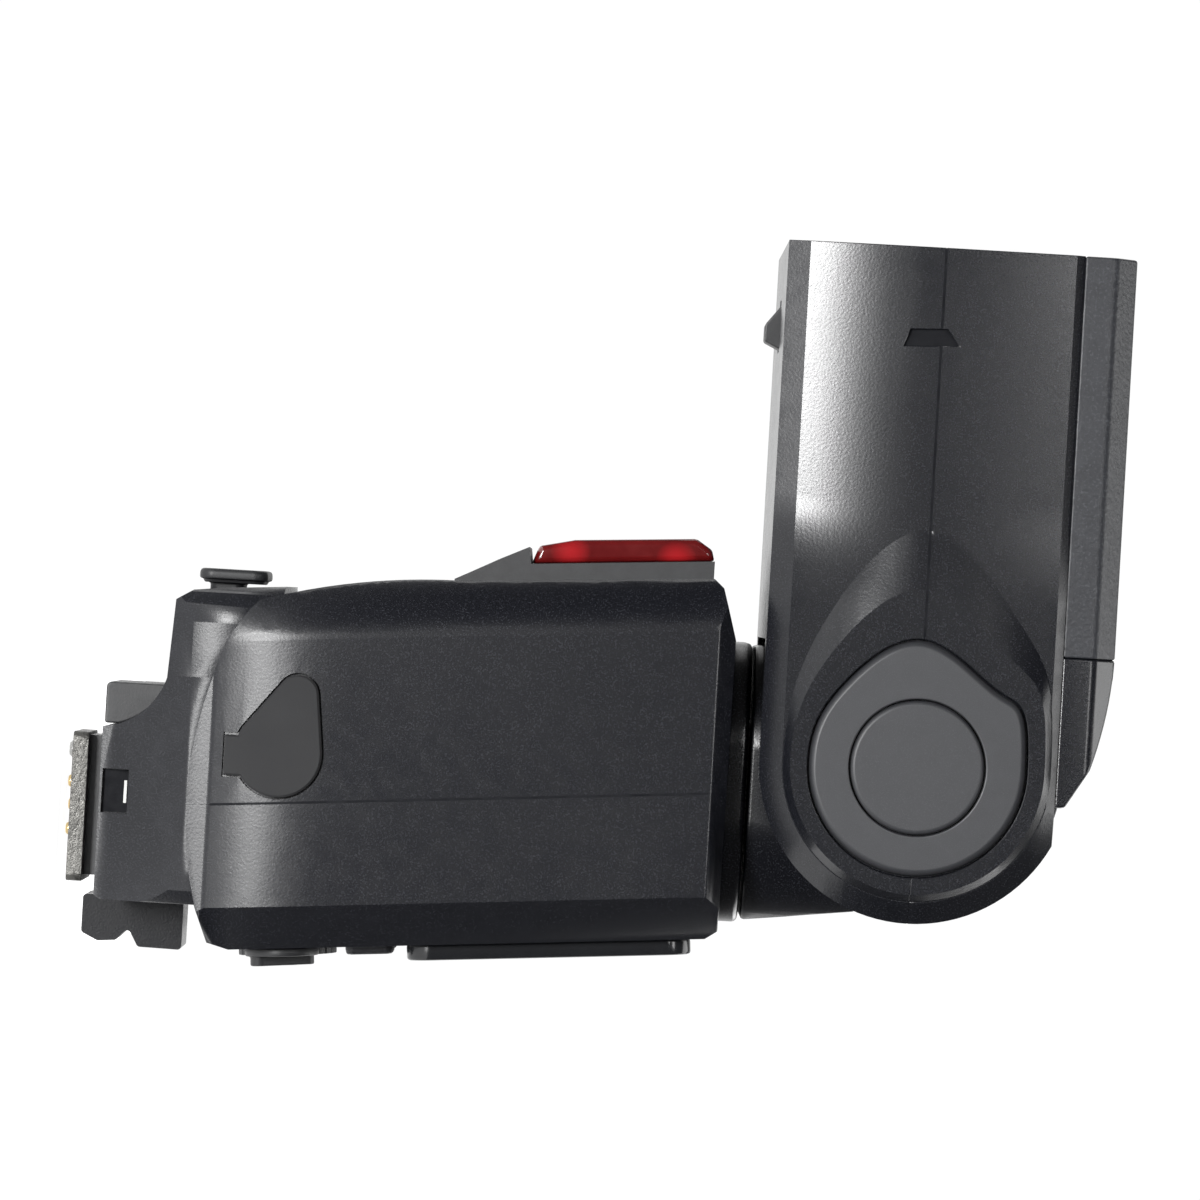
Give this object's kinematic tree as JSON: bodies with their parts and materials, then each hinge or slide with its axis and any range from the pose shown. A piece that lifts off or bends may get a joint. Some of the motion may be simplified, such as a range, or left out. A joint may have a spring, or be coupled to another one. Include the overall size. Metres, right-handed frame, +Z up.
{
  "type": "speedlight flash",
  "caption": "Shoe-mount camera flash with a locking foot, battery body with rear display and controls, and a bounce head that pans, tilts and zooms.",
  "frame": {"origin": "centre of the mounting foot's underside, where it rests in a camera's shoe", "axes": "+Z up the body from the foot, -Y the way the lens faces when the head is level, +X the side with the sync socket"},
  "size_m": [0.071, 0.0944, 0.1297],
  "materials": {
    "body_plastic": "fine grained charcoal",
    "hinge_plastic": "smooth satin grey",
    "grip_plastic": "coarse grained charcoal",
    "black_plastic": "plain black",
    "lever_plastic": "semi gloss black",
    "gloss_trim": "gloss black",
    "smoke_plastic": "dark smoked",
    "red_window": "dark translucent red",
    "soft_rubber": "matte",
    "key_rubber": "matte grey",
    "foot_metal": "bright, lightly pitted",
    "steel": "plain",
    "contact_metal": "plated",
    "cell_jacket": "printed sleeve, plain bands",
    "capacitor": "sleeved",
    "board": "solder resist",
    "lcd_glass": "grey green",
    "clear_window": "clear",
    "fresnel": "prismatic",
    "diffuser": "prismatic",
    "white_card": "white",
    "reflector_metal": "polished",
    "tube_glass": "clear",
    "lamp_red": "clear red",
    "lamp_amber": "amber"
  },
  "bodies": {
    "base": {"foot_plate": "foot_metal", "foot_core": "black_plastic", "foot_screws": "steel", "contact_block": "black_plastic", "base_housing": "body_plastic", "base_front_cover": "body_plastic", "af_contact_cover": "smoke_plastic", "power_socket": "black_plastic", "socket_pins": "contact_metal", "body_front_shell": "body_plastic", "body_rear_shell": "body_plastic", "af_bezel": "body_plastic", "af_window": "red_window", "af_lamps": "lamp_red", "sync_socket": "steel", "battery_box": "black_plastic", "aa_cells": "cell_jacket", "battery_contacts": "contact_metal", "ready_lamp": "lamp_amber", "lcd_bezel": "gloss_trim", "lcd_window": "clear_window", "lcd_module": "lcd_glass", "main_board": "board", "main_capacitor": "capacitor", "swivel_collar": "body_plastic"},
    "contact_pins": {"contact_pins": "contact_metal"},
    "lock_pin": {"lock_pin": "steel"},
    "lock_lever": {"lock_lever": "lever_plastic"},
    "power_cap": {"power_cap": "soft_rubber"},
    "sync_cover": {"sync_cover": "soft_rubber"},
    "battery_door": {"battery_door": "body_plastic", "door_contacts": "contact_metal"},
    "selector_dial": {"selector_dial": "key_rubber"},
    "ok_button": {"ok_button": "key_rubber"},
    "zoom_key": {"zoom_key": "key_rubber"},
    "mode_key": {"mode_key": "key_rubber"},
    "test_key": {"test_key": "key_rubber"},
    "power_switch": {"power_switch": "key_rubber"},
    "neck": {"neck": "body_plastic", "swivel_shaft": "steel"},
    "head": {"head_lower_shell": "body_plastic", "head_upper_shell": "body_plastic", "head_top_cover": "body_plastic", "grip_panel": "grip_plastic", "front_bezel": "body_plastic", "fresnel_lens": "fresnel", "tilt_axle": "steel", "hinge_cover_left": "hinge_plastic", "hinge_cover_right": "hinge_plastic", "hinge_cap": "hinge_plastic", "guide_rods": "steel", "zoom_motor": "steel"},
    "release_button": {"release_button": "hinge_plastic"},
    "dome_key": {"dome_key": "black_plastic"},
    "carriage": {"zoom_carriage": "black_plastic", "reflector": "reflector_metal", "flash_tube": "tube_glass"},
    "lead_screw": {"lead_screw": "steel"},
    "wide_panel": {"wide_panel": "diffuser"},
    "bounce_card": {"bounce_card": "white_card"}
  },
  "joints": [
    {"name": "contact_press", "type": "slide", "parent": "base", "child": "contact_pins", "axis": [0, 0, 1], "range_m": [0, 0.0006], "stiffness_N_per_m": 500},
    {"name": "lock_lever_turn", "type": "hinge", "parent": "base", "child": "lock_lever", "pos_m": [0, 0, 0.0078], "axis": [0, 0, 1], "range_deg": [0, 25]},
    {"name": "lock_pin_lift", "type": "slide", "parent": "base", "child": "lock_pin", "axis": [0, 0, 1], "range_m": [0, 0.0012]},
    {"name": "power_cap_open", "type": "hinge", "parent": "base", "child": "power_cap", "pos_m": [0, -0.0301, 0.0145], "axis": [1, 0, 0], "range_deg": [0, 110]},
    {"name": "sync_cover_open", "type": "hinge", "parent": "base", "child": "sync_cover", "pos_m": [0.0336, -0.008, 0.0203], "axis": [0, 1, 0], "range_deg": [0, 100]},
    {"name": "battery_door_open", "type": "hinge", "parent": "base", "child": "battery_door", "pos_m": [-0.03305, 0.0071, 0.0374], "axis": [0, 0, -1], "range_deg": [0, 110]},
    {"name": "dial_turn", "type": "hinge", "parent": "base", "child": "selector_dial", "pos_m": [0, 0.01564, 0.028], "axis": [0, 0.9968, 0.0797], "continuous": true},
    {"name": "ok_press", "type": "slide", "parent": "base", "child": "ok_button", "axis": [0, -0.9968, -0.0797], "range_m": [0, 0.0008], "stiffness_N_per_m": 500},
    {"name": "zoom_key_press", "type": "slide", "parent": "base", "child": "zoom_key", "axis": [0, -0.9968, -0.0797], "range_m": [0, 0.0008], "stiffness_N_per_m": 500},
    {"name": "mode_key_press", "type": "slide", "parent": "base", "child": "mode_key", "axis": [0, -0.9968, -0.0797], "range_m": [0, 0.0008], "stiffness_N_per_m": 500},
    {"name": "test_key_press", "type": "slide", "parent": "base", "child": "test_key", "axis": [0, -0.9968, -0.0797], "range_m": [0, 0.0008], "stiffness_N_per_m": 500},
    {"name": "power_switch_turn", "type": "hinge", "parent": "base", "child": "power_switch", "pos_m": [0.0195, 0.01564, 0.028], "axis": [0, 0.9968, 0.0797], "range_deg": [0, 50]},
    {"name": "head_pan", "type": "hinge", "parent": "base", "child": "neck", "pos_m": [0, -0.0078, 0.0846], "axis": [0, 0, 1], "range_deg": [-90, 180]},
    {"name": "head_tilt", "type": "hinge", "parent": "neck", "child": "head", "pos_m": [0, -0.0113, 0.105], "axis": [-1, 0, 0], "range_deg": [0, 90]},
    {"name": "release_press", "type": "slide", "parent": "head", "child": "release_button", "axis": [1, 0, 0], "range_m": [0, 0.0012], "stiffness_N_per_m": 500},
    {"name": "dome_key_press", "type": "slide", "parent": "head", "child": "dome_key", "axis": [0, 0, 1], "range_m": [0, 0.0012], "stiffness_N_per_m": 500},
    {"name": "zoom_travel", "type": "slide", "parent": "head", "child": "carriage", "axis": [0, 1, 0], "range_m": [0, 0.018]},
    {"name": "lead_screw_turn", "type": "hinge", "parent": "head", "child": "lead_screw", "pos_m": [0.0274, -0.055, 0.1125], "axis": [0, 1, 0], "range_deg": [0, 1620]},
    {"name": "wide_panel_slide", "type": "slide", "parent": "head", "child": "wide_panel", "axis": [0, -1, 0], "range_m": [0, 0.04]},
    {"name": "bounce_card_slide", "type": "slide", "parent": "head", "child": "bounce_card", "axis": [0, -1, 0], "range_m": [0, 0.038]}
  ],
  "couplings": [
    {"joint": "lock_pin_lift", "follows": "lock_lever_turn", "m_per_rad": 0.00275},
    {"joint": "lead_screw_turn", "follows": "zoom_travel", "rad_per_m": 1570}
  ]
}
